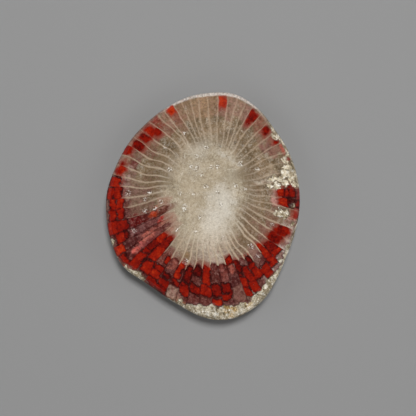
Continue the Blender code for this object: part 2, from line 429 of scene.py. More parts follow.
# The map of the chambers on the stone: across each chamber from 0 to 1, and in from the rim in
# millimetres, which goes on below 0 down the wall. Each face also knows its chamber.
share_low = (columns % COLUMNS_EACH) / COLUMNS_EACH
share_high = share_low + 1.0 / COLUMNS_EACH
corner_share = np.stack((share_low, share_high, share_high, share_low), axis=1)
corner_rows = []
for row in range(ring_count - 1):
    lower, upper = ring_inset[row], ring_inset[row + 1]
    if rings[row]["kind"] == "back" and rings[row + 1]["kind"] == "wall":
        upper = np.full(column_count, BASE_INSET)
    inset_corners = np.stack((lower, lower[after], upper[after], upper), axis=1)
    corner_rows.append(np.stack((corner_share, inset_corners), axis=-1).reshape(-1, 2))
for row, order in ((0, (1, 0)), (ring_count - 1, (0, 1))):
    insets = np.stack((ring_inset[row], ring_inset[row][after]), axis=1)[:, order]
    shares = np.stack((share_low, share_high), axis=1)[:, order]
    fan_insets = np.column_stack((insets, rim_reach))
    fan_shares = np.column_stack((shares, (share_low + share_high) / 2))
    corner_rows.append(np.stack((fan_shares, fan_insets), axis=-1).reshape(-1, 2))
chamber_map = stone_mesh.uv_layers.new(name="chamber_map")
chamber_map.data.foreach_set("uv", np.concatenate(corner_rows).ravel())


def keep(name, domain, kind, values):
    """Writes one named attribute of the stone's mesh."""
    attribute = stone_mesh.attributes.new(name, kind, domain)
    field = {"FLOAT": "value", "FLOAT_VECTOR": "vector", "FLOAT_COLOR": "color"}[kind]
    attribute.data.foreach_set(field, np.asarray(values, dtype=np.float32).ravel())


face_chamber = np.tile(columns // COLUMNS_EACH, ring_count + 1)
for index in range(BLOCKS_AT_MOST):
    blocks = [(row[3] + (NO_BLOCK,) * BLOCKS_AT_MOST)[index] for row in CHAMBERS]
    ends = np.array([(start, end, tone) for start, end, tone, _, _ in blocks])
    sides = np.array([(left, right, 0.0) for _, _, _, left, right in blocks])
    keep(f"block_{index}_ends", "FACE", "FLOAT_VECTOR", ends[face_chamber])
    keep(f"block_{index}_sides", "FACE", "FLOAT_VECTOR", sides[face_chamber])
wine_depths = np.array([row[2] for row in CHAMBERS])
chamber_middles = septum_bearings + np.diff(turn_ends) / 2
keep("chamber_wine", "FACE", "FLOAT", wine_depths[face_chamber])
keep("chamber_tilt", "FACE", "FLOAT", by_bearing(ROW_TILT, chamber_middles)[face_chamber])
keep("chamber_number", "FACE", "FLOAT", face_chamber)

rim_spans = np.repeat(np.diff(turn_ends), COLUMNS_EACH)
bend_spans = np.repeat(np.diff(bend_ends), COLUMNS_EACH)
bent = smooth_step(np.maximum(ring_inset, 0.0) / BEND_DEPTH)
breadths = np.radians(rim_spans + bend_spans * bent) * np.maximum(ring_radius, 0.2)
row_breadths = (breadths[1:] + breadths[:-1]) / 2
keep("chamber_breadth", "FACE", "FLOAT", np.vstack((row_breadths, breadths[:1] / 2, breadths[-1:] / 2)))

# The colours inside the agate. The septa end in a crystalline milky middle, iron and organic stains
# colour single chambers, clouds lie across them, and small crystals show as white specks, painted
# glints where they would catch the light.
# Where the septa end, as (bearing, distance from the axis)
SEPTA_ENDS = (
    (0, 6.2), (30, 6.3), (55, 6.6), (75, 7.6), (100, 8.0), (125, 7.6), (150, 7.3), (178, 7.4),
    (200, 7.8), (225, 8.2), (250, 8.4), (275, 8.0), (295, 7.4), (315, 6.2), (335, 6.0), (359.9, 6.2),
)
SEPTA_FADE = 4.0
# How clearly the septa stand out, as (bearing, strength)
SEPTA_CLEARNESS = (
    (0, 0.55), (30, 0.6), (60, 0.65), (90, 0.65), (125, 0.75), (160, 0.9), (188, 0.75), (200, 0.3),
    (228, 0.4), (245, 1.1), (268, 1.45), (300, 1.3), (325, 1.05), (345, 0.7),
)
SEPTA_OFFSET = 0.6
MIDDLE_FADE = 4.5
MIDDLE_OFFSET = 1.8
OUTER_PART = 3.0
# Soft clouds in the clear agate, as (x, y, radius, colour on screen, strength)
CLOUDS = (
    (1.6, -6.4, 4.0, (210, 197, 177), 0.85), (-3.0, -6.0, 3.0, (188, 173, 149), 0.65),
    (-0.5, 3.5, 5.2, (178, 162, 137), 0.5), (3.3, 1.0, 2.9, (212, 205, 192), 0.75),
    (2.0, -2.4, 2.9, (212, 203, 188), 0.75), (3.4, -0.9, 2.2, (212, 205, 192), 0.45),
    (-0.3, 9.4, 2.0, (180, 172, 158), 0.45), (-1.2, 6.3, 1.6, (184, 174, 158), 0.4),
    (5.0, 5.0, 1.5, (176, 168, 152), 0.3), (7.2, 5.4, 2.0, (116, 99, 74), 0.7),
    (8.3, 2.9, 1.8, (120, 102, 78), 0.6), (3.4, 10.8, 1.8, (122, 106, 80), 0.5),
    (-5.6, 6.6, 2.2, (128, 112, 86), 0.5), (-6.2, 4.2, 1.8, (124, 108, 84), 0.5),
    (-8.6, 4.6, 1.8, (108, 92, 68), 0.6), (7.6, -0.8, 2.2, (136, 116, 92), 0.5),
    (8.6, -3.4, 2.2, (134, 110, 87), 0.5), (-7.3, 9.7, 1.3, (120, 104, 76), 0.5),
    (-7.8, 7.2, 1.5, (112, 97, 72), 0.5), (2.9, -6.9, 0.8, (140, 124, 98), 0.6),
    (5.4, -5.6, 1.0, (150, 134, 110), 0.5), (2.6, 8.9, 0.7, (184, 176, 162), 0.45),
    (3.5, 8.4, 0.6, (188, 180, 166), 0.5), (4.3, 7.9, 0.55, (188, 180, 166), 0.5),
    (5.1, 7.4, 0.5, (188, 180, 166), 0.5), (5.9, 6.9, 0.5, (190, 183, 170), 0.5),
    (-2.7, -8.1, 0.7, (158, 130, 88), 0.7), (6.8, -6.2, 2.2, (134, 114, 90), 0.45),
    (-9.3, 2.4, 3.0, (116, 99, 76), 0.45),
)
CLOUD_REACH = 1.25
# Ochre stains in the rind, as (x, y, radius, strength)
OCHRE_STAINS = (
    (4.1, -16.5, 1.0, 1.0), (4.9, -17.2, 0.8, 0.9), (7.5, -16.3, 0.7, 0.7), (4.7, -18.2, 0.5, 0.7),
)
OCHRE_REACH = 1.6
# Painted glints of small crystals, white specks where they would catch the light, as (x, y, radius)
CRYSTAL_GLINTS = (
    (-5.5, 6.1, 0.3), (6.3, 7.0, 0.28), (0.5, 3.3, 0.28), (-12.4, 2.15, 0.28), (-8.9, 2.1, 0.26),
    (-9.6, -0.8, 0.26), (-2.95, -9.3, 0.36), (-0.9, 6.3, 0.24), (1.4, 6.4, 0.24), (-3.7, 2.1, 0.22),
    (-1.5, 2.0, 0.22), (-1.1, 6.1, 0.26), (-6.3, 9.9, 0.22), (-3.1, 12.1, 0.2), (8.1, -6.9, 0.24),
    (9.1, -8.3, 0.26), (11.5, -3.1, 0.24), (7.8, -6.5, 0.22), (-11.4, -4.1, 0.22), (-3.0, 0.0, 0.24),
    (-3.2, -0.6, 0.24), (3.0, 0.3, 0.22), (5.4, 3.5, 0.24), (-0.2, 5.2, 0.2), (2.4, 2.2, 0.22),
    (-9.7, 1.1, 0.22), (-7.0, 0.7, 0.24), (-8.0, -0.4, 0.22), (-2.0, 6.6, 0.2), (2.4, 6.5, 0.22),
    (-0.9, 8.2, 0.24), (0.6, 9.7, 0.22), (-0.5, -1.8, 0.2), (-1.3, -4.3, 0.22), (-4.3, -3.9, 0.2),
    (9.1, 6.1, 0.2), (7.0, 2.8, 0.2), (3.3, -5.2, 0.2),
)
GLINT_REACH = 2.3
SPOT_FALL = 1.2
# Stains inside single chambers, as (chamber, start, end, colour on screen, strength), with the shares
# of the chamber's breadth where its sides are, left and right, if it doesn't fill the chamber
STAINS = (
    (1, 3.6, 7.3, (200, 188, 168), 0.8, 0.1, 0.5), (1, 3.4, 5.4, (184, 170, 146), 0.6, 0.7, 1.3),
    (2, 3.0, 4.6, (176, 160, 132), 0.5, 0.2, 1.0), (4, 0.9, 3.0, (137, 98, 84), 0.8),
    (4, 0.25, 1.1, (178, 84, 68), 0.9, 0.1, 0.85), (5, 1.3, 4.0, (130, 95, 83), 0.8),
    (6, 1.9, 3.6, (133, 103, 86), 0.7), (7, 0.4, 3.2, (137, 89, 70), 0.9),
    (8, 3.0, 4.6, (114, 68, 55), 0.7, 0.2, 1.0), (9, 0.5, 3.8, (144, 108, 94), 0.85),
    (10, 0.7, 3.6, (156, 122, 103), 0.8), (11, 0.5, 4.6, (156, 122, 104), 0.7),
    (12, 2.4, 4.0, (150, 108, 94), 0.7), (13, 0.5, 4.0, (149, 119, 91), 0.8),
    (14, 0.5, 4.2, (162, 132, 100), 0.85), (15, 0.5, 4.0, (160, 132, 102), 0.8),
    (16, 0.5, 4.0, (150, 124, 98), 0.6), (17, 0.3, 3.8, (150, 118, 92), 0.7),
    (18, 1.2, 3.9, (146, 84, 70), 0.8, 0.0, 0.8), (18, 3.4, 5.2, (142, 111, 89), 0.6),
    (19, 0.4, 4.2, (152, 116, 96), 0.7), (20, -0.2, 1.3, (136, 52, 40), 0.95),
    (20, 0.9, 2.6, (138, 62, 48), 0.9), (20, 2.4, 4.4, (137, 98, 80), 0.8, 0.1, 1.0),
    (21, 0.0, 0.7, (134, 62, 50), 0.85), (21, 0.5, 3.8, (130, 68, 54), 0.85),
    (22, 0.0, 1.0, (134, 76, 64), 0.7), (22, 2.2, 4.4, (120, 84, 66), 0.7),
    (23, 0.1, 0.9, (132, 86, 72), 0.7), (23, 2.2, 4.6, (124, 88, 72), 0.7),
    (24, 1.0, 3.6, (120, 86, 74), 0.8), (25, 0.0, 1.6, (146, 112, 100), 0.7, 0.0, 0.7),
    (25, 1.9, 3.5, (116, 58, 54), 0.9, 0.25, 0.95), (26, 1.6, 4.0, (124, 92, 80), 0.7),
    (27, 1.9, 3.3, (106, 64, 58), 0.8, 0.2, 0.95), (27, 3.2, 5.2, (128, 102, 88), 0.6),
    (28, 2.4, 3.7, (94, 54, 50), 0.85), (28, 3.6, 7.2, (122, 94, 82), 0.8),
    (29, 2.9, 4.3, (92, 50, 46), 0.7), (29, 4.2, 7.4, (126, 104, 88), 0.7),
    (30, 3.2, 5.0, (92, 52, 46), 0.7), (30, 4.4, 8.2, (116, 88, 74), 0.8),
    (31, 3.8, 7.0, (96, 10, 12), 0.97, -0.05, 0.9), (31, 5.8, 8.2, (86, 46, 40), 0.6, 0.0, 0.5),
    (31, 7.3, 8.8, (186, 66, 30), 0.97, 0.1, 0.65), (31, 8.7, 10.8, (102, 62, 48), 0.8),
    (30, 8.6, 11.2, (164, 128, 108), 0.7, -0.2, 1.2), (33, 9.6, 12.0, (160, 122, 104), 0.75, -0.5, 1.5),
    (35, 9.2, 11.8, (166, 134, 114), 0.7, -0.6, 1.2), (32, 3.6, 6.4, (118, 80, 77), 0.9, 0.1, 0.95),
    (32, 6.2, 9.2, (116, 70, 66), 0.85, 0.1, 0.95), (32, 8.6, 9.8, (170, 40, 28), 0.95, 0.5, 1.05),
    (33, 2.0, 4.9, (76, 34, 33), 0.85, 0.1, 0.9), (33, 4.6, 6.2, (92, 42, 42), 0.8, -0.05, 0.5),
    (33, 7.1, 9.4, (148, 84, 74), 0.9, 0.35, 1.3), (33, 9.0, 11.2, (170, 114, 94), 0.85, 0.2, 1.2),
    (34, 1.0, 2.6, (84, 26, 22), 0.8), (34, 4.6, 5.5, (150, 74, 72), 0.85, 0.4, 0.95),
    (34, 5.2, 7.6, (122, 52, 50), 0.85, 0.35, 1.0), (34, 7.2, 9.0, (128, 66, 60), 0.8, 0.3, 0.9),
    (34, 8.6, 10.8, (88, 40, 38), 0.85, 0.2, 1.0), (34, 2.7, 4.3, (220, 104, 92), 1.0, 0.45, 0.72),
    (34, 4.2, 5.2, (198, 100, 92), 0.97, 0.1, 0.55), (33, 5.4, 7.2, (194, 106, 90), 1.0, 0.55, 1.4),
    (35, 8.8, 10.6, (166, 124, 106), 0.85), (36, 8.4, 9.8, (160, 108, 92), 0.7, 0.4, 1.0),
    (37, 4.1, 5.9, (124, 62, 50), 0.8, 0.1, 1.0), (37, 6.0, 7.6, (110, 66, 56), 0.7),
    (38, 3.6, 4.9, (92, 52, 48), 0.8, 0.1, 0.9), (38, 4.5, 6.1, (150, 82, 68), 0.95, 0.3, 0.85),
    (39, 0.1, 2.3, (170, 140, 122), 0.95, -0.1, 1.3), (39, -0.4, 0.5, (150, 96, 62), 0.85),
    (40, -0.4, 0.9, (152, 104, 74), 0.85), (40, 1.0, 2.0, (112, 62, 54), 0.8),
    (40, 3.4, 4.4, (112, 70, 62), 0.7, 0.1, 0.9), (41, 1.6, 3.0, (96, 44, 38), 0.7),
    (41, 4.8, 6.6, (98, 48, 40), 0.6, 0.1, 0.9), (42, 2.0, 3.6, (106, 60, 52), 0.8),
    (42, 7.2, 8.6, (158, 50, 32), 0.6, 0.2, 0.75), (43, 6.1, 9.4, (88, 42, 36), 0.7, 0.1, 0.9),
    (44, 1.9, 3.2, (104, 58, 52), 0.7), (44, 6.6, 9.2, (144, 76, 66), 0.85, 0.35, 0.7),
    (45, 2.0, 4.8, (134, 94, 82), 0.95), (45, 4.8, 7.2, (76, 36, 34), 0.8, 0.1, 0.9),
    (45, 7.0, 9.2, (172, 84, 66), 0.9, 0.3, 0.7), (46, 1.2, 2.6, (150, 128, 112), 0.6, 0.0, 0.7),
    (46, 5.5, 6.8, (96, 40, 34), 0.7, 0.1, 0.9), (47, 3.6, 4.4, (128, 62, 50), 0.7, 0.1, 0.9),
    (47, 4.4, 5.7, (78, 38, 40), 0.8, 0.3, 1.0), (47, 5.6, 8.0, (134, 100, 92), 0.7),
    (46, 7.4, 9.0, (140, 104, 94), 0.7, 0.2, 1.0), (48, 1.8, 3.2, (104, 64, 58), 0.95),
    (49, 3.3, 5.0, (92, 44, 42), 0.8, 0.1, 0.9), (49, 4.6, 7.5, (140, 108, 96), 0.7),
    (50, 0.5, 1.7, (146, 118, 110), 0.95), (51, 0.4, 1.8, (142, 112, 102), 0.95),
    (52, 0.4, 2.3, (132, 94, 86), 0.95), (53, 0.3, 1.4, (150, 120, 108), 0.9),
    (51, 4.4, 6.5, (132, 94, 80), 0.7), (52, 4.3, 6.0, (128, 88, 76), 0.7),
    (53, 3.4, 5.4, (128, 88, 76), 0.7), (54, 0.3, 3.2, (146, 112, 100), 0.8),
    (54, 3.6, 6.0, (130, 98, 78), 0.6), (46, 1.3, 2.6, (196, 180, 164), 0.8, 0.9, 1.1),
    (48, 1.0, 2.2, (196, 180, 168), 0.8, 0.9, 1.1), (49, 1.2, 2.4, (200, 186, 176), 0.85, 0.85, 1.1),
    (50, 0.3, 1.8, (200, 186, 176), 0.85, 0.9, 1.1), (51, 0.2, 2.0, (204, 192, 182), 0.85, 0.9, 1.1),
    (52, 0.2, 1.4, (204, 190, 180), 0.85, 0.85, 1.1), (53, 0.2, 2.6, (200, 184, 172), 0.8, 0.9, 1.1),
    (54, 0.4, 2.8, (196, 178, 166), 0.8, 0.9, 1.1), (27, 2.1, 3.6, (170, 142, 132), 0.8, 0.8, 1.15),
    (26, 2.0, 3.4, (174, 148, 138), 0.8, 0.8, 1.2), (28, 2.6, 3.8, (168, 142, 132), 0.7, 0.8, 1.2),
    (25, 1.7, 3.0, (168, 142, 130), 0.7, 0.8, 1.15), (55, 0.2, 1.8, (148, 84, 68), 0.8),
    (55, -0.8, 1.1, (172, 56, 42), 0.9, 0.0, 0.9), (55, 1.8, 4.2, (142, 106, 92), 0.6),
    (55, 3.5, 4.8, (118, 78, 62), 0.8), (56, -0.8, 1.0, (150, 38, 34), 0.92),
    (56, 3.4, 5.2, (206, 152, 140), 0.9), (57, 3.5, 4.6, (180, 154, 142), 0.85),
    (57, -0.8, 0.7, (150, 36, 32), 0.92, -0.1, 1.0), (57, 1.0, 4.0, (40, 9, 9), 0.95, -0.14, 0.08),
)
STAIN_SOFT = 0.4
STAIN_EDGE = 0.3
STAIN_AT_MOST = 0.97
# The outermost skin of the rim: its width as (bearing, millimetres), and its colours as
# (from bearing, to bearing, fade, colour on screen, strength). Some rows are partly painted light:
# the near-white band along the top is the pale outer wall with a painted highlight of the rolled
# edge, and the pinkish-grey bands on the left are the rim's own colour with a painted sheen over its red.
RIM_WIDTHS = (
    (0, 0.25), (8, 0.6), (24, 0.6), (35, 0.45), (50, 0.45), (60, 0.35), (75, 0.6), (95, 0.6), (112, 0.4),
    (140, 0.35), (178, 0.5), (196, 0.6), (205, 0.3), (225, 0.35), (240, 0.15), (300, 0.1), (330, 0.3),
)
RIM_COLOURS_AND_SHEEN = (
    # Partly the rim's own colour, partly a painted sheen that washes its red to pinkish grey, down the left
    (172, 236, 10, (131, 99, 87), 0.85),
    (198, 205, 4, (132, 32, 24), 0.85),
    (212, 224, 6, (132, 34, 28), 0.85),
    # Partly the rim's own colour, partly a painted sheen that washes its red to pinkish grey, upper left
    (118, 176, 12, (148, 112, 98), 0.8),
    # Partly the pale outer wall, partly a painted highlight where the rolled edge along the top catches the
    # light
    (56, 120, 14, (241, 233, 224), 0.92),
    (18, 58, 8, (172, 160, 138), 0.8),
    (325, 342, 8, (128, 96, 84), 0.6),
    (7, 23, 5, (88, 88, 60), 0.9),
)
RIM_SOFT = 0.25
# The noise that makes all these edges uneven, as (layer, spacing)
BROAD_NOISE = (20.0, 1.3)
FINE_NOISE = (25.0, 0.5)
CROSS_NOISE = (30.0, 0.8)

tint = np.zeros(ring_x.shape + (3,))
cover = np.zeros(ring_x.shape)
column_chamber = columns // COLUMNS_EACH
ring_breadths = np.radians(rim_spans) * np.maximum(ring_radius, LEAST_RADIUS)
broad_swing = lumps(ring_x, ring_y, *BROAD_NOISE)
fine_swing = lumps(ring_x, ring_y, *FINE_NOISE)
cross_swing = lumps(ring_x, ring_y, *CROSS_NOISE)
ragged_inset = ring_inset + 0.5 * broad_swing + 0.3 * fine_swing
mottle = np.clip(0.95 + 0.8 * fine_swing + 0.7 * cross_swing, 0.0, 1.1)


def on_screen(colour):
    """A colour given as it shows on screen, 0 to 255, turned into the linear values of a shader."""
    shares = [value / 255.0 for value in colour]
    return tuple(s / 12.92 if s <= 0.04045 else ((s + 0.055) / 1.055) ** 2.4 for s in shares)


def lay_over(colour, share):
    """Lays a colour over the tint of the rings where share says."""
    tint[:] = tint * (1.0 - share[..., None]) + np.array(on_screen(colour)) * share[..., None]
    cover[:] = 1.0 - (1.0 - cover) * (1.0 - share)


def bump_between(value, start, end, soft):
    """1 between start and end, with soft shoulders this wide that lie half inside."""
    rise = smooth_step((value - start) / soft + 0.5)
    fall = smooth_step((end - value) / soft + 0.5)
    return rise * fall


def share_from(chamber):
    """How far across each point lies from this chamber's septum, in chambers, with a natural sway."""
    half_turn = chamber_count / 2
    around = (column_places - chamber + half_turn) % chamber_count - half_turn
    return around + (0.45 * cross_swing + 0.2 * fine_swing) / ring_breadths


def how_far(x, y, radius):
    """How far each point lies from a spot, in radii of that spot."""
    return np.hypot(ring_x - x, ring_y - y) / radius


in_wine = smooth_step((wine_depths[column_chamber][None, :] - ring_inset) / 0.5 + 0.5)
outside_wine = np.where(ring_inset < OUTER_PART, 1.0, 1.0 - in_wine)
for x, y, radius, colour, strength in CLOUDS:
    ragged_away = how_far(x, y, radius) + 0.35 * broad_swing + 0.2 * fine_swing
    lay_over(colour, strength * smooth_step(CLOUD_REACH - ragged_away) * outside_wine)
for chamber, start, end, colour, strength, *sides in STAINS:
    left, right = sides or (0.0, 1.0)
    across = bump_between(share_from(chamber), left - 0.1, right + 0.1, STAIN_EDGE)
    along = bump_between(ragged_inset, start, end, STAIN_SOFT)
    lay_over(colour, np.minimum(strength * across * along * mottle, STAIN_AT_MOST))
rim_width = by_bearing(RIM_WIDTHS, ring_bearing) + 0.12 * broad_swing
rim_band = smooth_step((rim_width - ring_inset) / RIM_SOFT + 0.5) * smooth_step(ring_inset / 1.5 + 1.2)
around = ring_bearing % 360.0
# The rim's colours, with their painted highlight and sheen, laid over the tint
for start, end, fade, colour, strength in RIM_COLOURS_AND_SHEEN:
    this_turn, next_turn = (bump_between(turn, start, end, fade) for turn in (around, around + 360.0))
    lay_over(colour, strength * rim_band * np.maximum(this_turn, next_turn))
# Painted glints: where small crystals show as white specks
crystal_glints = np.zeros(ring_x.shape)
for x, y, radius in CRYSTAL_GLINTS:
    spark = smooth_step(GLINT_REACH - SPOT_FALL * how_far(x, y, radius) + 0.4 * fine_swing)
    crystal_glints = np.maximum(crystal_glints, spark)
ochre = np.zeros(ring_x.shape)
for x, y, radius, strength in OCHRE_STAINS:
    spot = smooth_step(OCHRE_REACH - SPOT_FALL * how_far(x, y, radius) - 0.8 * fine_swing)
    ochre = np.maximum(ochre, strength * spot)

past_septa = ring_radius - by_bearing(SEPTA_ENDS, ring_bearing)
septa_share = smooth_step((past_septa - SEPTA_OFFSET) / SEPTA_FADE + 0.5)
septa_strength = septa_share * by_bearing(SEPTA_CLEARNESS, ring_bearing)
middle_share = 1.0 - smooth_step((past_septa + MIDDLE_OFFSET + 0.8 * broad_swing) / MIDDLE_FADE)
kinds = np.array([ring["kind"] for ring in rings])
rind = rind_share(ring_bearing, ring_inset, ring_x, ring_y)
rind[kinds == "back"] = 0.0
skin = skin_share(ring_bearing) * smooth_step(-ring_inset / 0.5)
on_back = np.zeros(ring_x.shape)
on_back[:len(BACK_SHARES) + 1] = 1.0
wall_dip = np.where((kinds == "wall")[:, None], rim_reach - ring_radius, 0.0)

for name, values, back_value, crown_value in (
    ("septa_strength", septa_strength, 0.0, 0.0), ("middle_share", middle_share, 1.0, 1.0),
    ("rind_share", rind, 0.0, 0.0), ("skin_share", skin, 0.0, 0.0), ("ochre_share", ochre, 0.0, 0.0),
    ("crystal_glint_share", crystal_glints, 0.0, 0.0), ("back_share", on_back, 1.0, 0.0),
    ("wall_dip", wall_dip, 0.0, 0.0),
):
    keep(name, "POINT", "FLOAT", np.append(values.ravel(), (back_value, crown_value)))
tint_points = np.vstack((tint.reshape(-1, 3), tint[0].mean(axis=0), tint[-1].mean(axis=0)))
cover_points = np.append(cover.ravel(), (cover[0].mean(), cover[-1].mean()))
keep("tint", "POINT", "FLOAT_COLOR", np.column_stack((tint_points, cover_points)))

# The agate and its polish. Clear brownish chalcedony fills the chambers, iron has stained it wine
# and red in blocks with dark cracks between, and the septa stay pale. Tin oxide on felt gave it its
# gloss; rind, wall skin and sawn back stay dull.
SWAY_IN, SWAY_ACROSS, SWAY_SWELL = 0.7, 0.55, 0.55
RAGGED_IN, RAGGED_ACROSS = 0.35, 0.3
BLOCK_SWELL = 0.16
CORNER_CLEAR, CORNER_WINE = 1.2, 0.5
FAR_OUTSIDE = -9.0
SEPTUM_LEAST, SEPTUM_MOST = 0.13, 0.3
RED_TONES = (
    (0.0, (56, 9, 7)), (0.25, (98, 13, 8)), (0.5, (128, 19, 7)), (0.75, (148, 28, 9)), (1.0, (176, 50, 18)),
)
POLISHED_ROUGHNESS = 0.07
DULL_ROUGHNESS = 0.72
AGATE_IOR = 1.54


def add(kind, inputs=(), **settings):
    """Adds a node to the tree being built, which the script calls tree: first that of one block, then
    the material's. The inputs are (name or number, socket or value) pairs."""
    made = tree.nodes.new("ShaderNode" + kind)
    for name, value in settings.items():
        setattr(made, name, value)
    for key, value in inputs:
        if isinstance(value, bpy.types.NodeSocket):
            tree.links.new(value, made.inputs[key])
        else:
            made.inputs[key].default_value = value
    return made


def calc(operation, first, *others):
    """The result of Math nodes that take up the values one after another."""
    for value in others:
        first = add("Math", [(0, first), (1, value)], operation=operation).outputs[0]
    return first


def product(*factors):
    """The factors multiplied."""
    return calc("MULTIPLY", *factors)


def total(*parts):
    """The parts added up."""
    return calc("ADD", *parts)


def opposite(share):
    """1 less the share."""
    return calc("SUBTRACT", 1.0, share)


def swing(value, width):
    """How far the value is off 0.5, times width."""
    return product(calc("SUBTRACT", value, 0.5), width)


def slope(value, low, high):
    """0 at low and 1 at high, with a smooth slope between; low may be above high."""
    inputs = [("Value", value), ("From Min", low), ("From Max", high)]
    return add("MapRange", inputs, interpolation_type="SMOOTHSTEP").outputs[0]


def spread(value, low, high, least, most):
    """least where the value is low and most where it is high, on a straight line between."""
    inputs = [("Value", value), ("From Min", low), ("From Max", high), ("To Min", least), ("To Max", most)]
    return add("MapRange", inputs).outputs[0]


def blend(share, without, fully):
    """A number that goes from one to the other by share."""
    return add("Mix", [(0, share), (2, without), (3, fully)], data_type="FLOAT").outputs[0]


def paint(under, over, *shares):
    """One colour laid on another by the product of the shares. A colour is a socket or as on screen."""
    under, over = [
        colour if isinstance(colour, bpy.types.NodeSocket) else on_screen(colour) + (1.0,)
        for colour in (under, over)
    ]
    inputs = [(0, product(*shares)), (6, under), (7, over)]
    return add("Mix", inputs, data_type="RGBA").outputs[2]


def scaled(vector, factor):
    """A vector or a colour times a number."""
    return add("VectorMath", [(0, vector), ("Scale", factor)], operation="SCALE").outputs[0]


def summed(first, second):
    """Two vectors or colours added."""
    return add("VectorMath", [(0, first), (1, second)], operation="ADD").outputs[0]


def split(vector):
    """The three parts of a vector or a colour."""
    return add("SeparateXYZ", [(0, vector)]).outputs[:]


def read(name, output="Fac"):
    """One of the mesh's attributes."""
    return add("Attribute", attribute_name=name).outputs[output]


def grain(place, per_mm, detail, roughness, output="Fac"):
    """A Noise Texture; its Fac is about 0.3 to 0.7."""
    inputs = [("Vector", place), ("Scale", per_mm), ("Detail", detail), ("Roughness", roughness)]
    return add("TexNoise", inputs).outputs[output]


# One block of red agate: how far a point lies inside it, in millimetres, with rounded corners
agate_block = bpy.data.node_groups.new("agate_block", "ShaderNodeTree")
tree = agate_block
for name in ("Inset", "Share", "Breadth", "Start", "End", "Left", "Right", "Corner"):
    tree.interface.new_socket(name, in_out="INPUT", socket_type="NodeSocketFloat")
tree.interface.new_socket("Inside", in_out="OUTPUT", socket_type="NodeSocketFloat")
given = tree.nodes.new("NodeGroupInput").outputs
from_start = calc("SUBTRACT", given["Inset"], given["Start"])
to_end = calc("SUBTRACT", given["End"], given["Inset"])
from_left = calc("SUBTRACT", given["Share"], given["Left"])
to_right = calc("SUBTRACT", given["Right"], given["Share"])
nearest_side = product(calc("MINIMUM", from_left, to_right), given["Breadth"])
nearest_end = calc("MINIMUM", from_start, to_end)
inputs = [(0, nearest_side), (1, nearest_end), (2, given["Corner"])]
rounded = add("Math", inputs, operation="SMOOTH_MIN").outputs[0]
tree.links.new(total(rounded, BLOCK_SWELL), tree.nodes.new("NodeGroupOutput").inputs["Inside"])

# The material itself, and where a point of the stone lies in it
polished_coral = bpy.data.materials.new("polished_coral")
polished_coral.use_nodes = True
tree = polished_coral.node_tree
shader = tree.nodes["Principled BSDF"]
place = scaled(add("TexCoord").outputs["Object"], 1.0 / MM)
share_true, inset_true, _ = split(add("UVMap", uv_map="chamber_map").outputs[0])
breadth = read("chamber_breadth")
wine_depth = read("chamber_wine")
rind_mask = read("rind_share")
back_mask = read("back_share")
skin_mask = read("skin_share")

# Natural wobble of every edge in the pattern, in millimetres: a slow sway and a fine raggedness
sway = split(grain(place, 1.1, 1.0, 0.5, "Color"))
ragged_colour = grain(place, 3.4, 3.0, 0.6, "Color")
ragged = split(ragged_colour)
wobble_in = total(swing(sway[0], SWAY_IN), swing(ragged[0], RAGGED_IN))
wobble_across = total(swing(sway[1], SWAY_ACROSS), swing(ragged[1], RAGGED_ACROSS))
level = calc("MAXIMUM", inset_true, 0.1)
inset = total(level, swing(share_true, read("chamber_tilt")), wobble_in)
share = total(share_true, calc("DIVIDE", wobble_across, breadth))

# The red blocks: how deep inside one this point lies, and that block's tone. In the clear agate
# their corners are rounder than in the wine-red.
has_wine = calc("GREATER_THAN", wine_depth, 0.5)
corner = blend(has_wine, CORNER_CLEAR, CORNER_WINE)
inside, tone = FAR_OUTSIDE, 0.0
for index in range(BLOCKS_AT_MOST):
    start, end, its_tone = split(read(f"block_{index}_ends", "Vector"))
    left, right, _ = split(read(f"block_{index}_sides", "Vector"))
    inputs = [
        ("Inset", inset), ("Share", share), ("Breadth", breadth), ("Start", start), ("End", end),
        ("Left", left), ("Right", right), ("Corner", corner),
    ]
    here = add("Group", inputs, node_tree=agate_block).outputs["Inside"]
    tone = blend(calc("GREATER_THAN", here, inside), tone, its_tone)
    inside = calc("MAXIMUM", here, inside)
inside = total(inside, swing(sway[2], SWAY_SWELL))

# The clear agate between the septa, darker outside and milky beige in the crystalline middle
clear_cloud = grain(place, 0.35, 4.0, 0.6)
fine_grain = grain(place, 2.6, 4.0, 0.7)
middle = read("middle_share")
not_middle = opposite(middle)
outer_clear = paint((103, 84, 61), (136, 113, 87), slope(clear_cloud, 0.38, 0.64))
inner_clear = paint((161, 147, 124), (188, 173, 150), slope(clear_cloud, 0.36, 0.66))
clear = paint(outer_clear, inner_clear, middle)
streak_x, streak_y = product(share_true, 2.6), product(inset_true, 0.75)
streak_inputs = [(0, streak_x), (1, streak_y), (2, read("chamber_number"))]
streak_place = add("CombineXYZ", streak_inputs).outputs[0]
streaks = grain(streak_place, 1.0, 3.0, 0.6)
mosaic = add("TexVoronoi", [("Vector", place), ("Scale", 2.4), ("Randomness", 1.0)])
crystal_tone = split(mosaic.outputs["Color"])[1]
grain_share = blend(middle, 0.38, 0.62)
mosaic_share = product(slope(clear_cloud, 0.35, 0.6), 0.16)
streak_share = product(not_middle, 0.5)
# Each row lays a colour over the agate as a pattern goes from low to high
for pattern, low, high, mask, colour in (
    (streaks, 0.5, 0.75, streak_share, (92, 76, 56)),
    (fine_grain, 0.5, 0.68, grain_share, (204, 194, 176)),
    (fine_grain, 0.48, 0.32, grain_share, (104, 86, 64)),
    (crystal_tone, 0.55, 1.0, mosaic_share, (222, 214, 198)),
    (crystal_tone, 0.4, 0.0, mosaic_share, (110, 94, 72)),
):
    clear = paint(clear, colour, slope(pattern, low, high), mask)

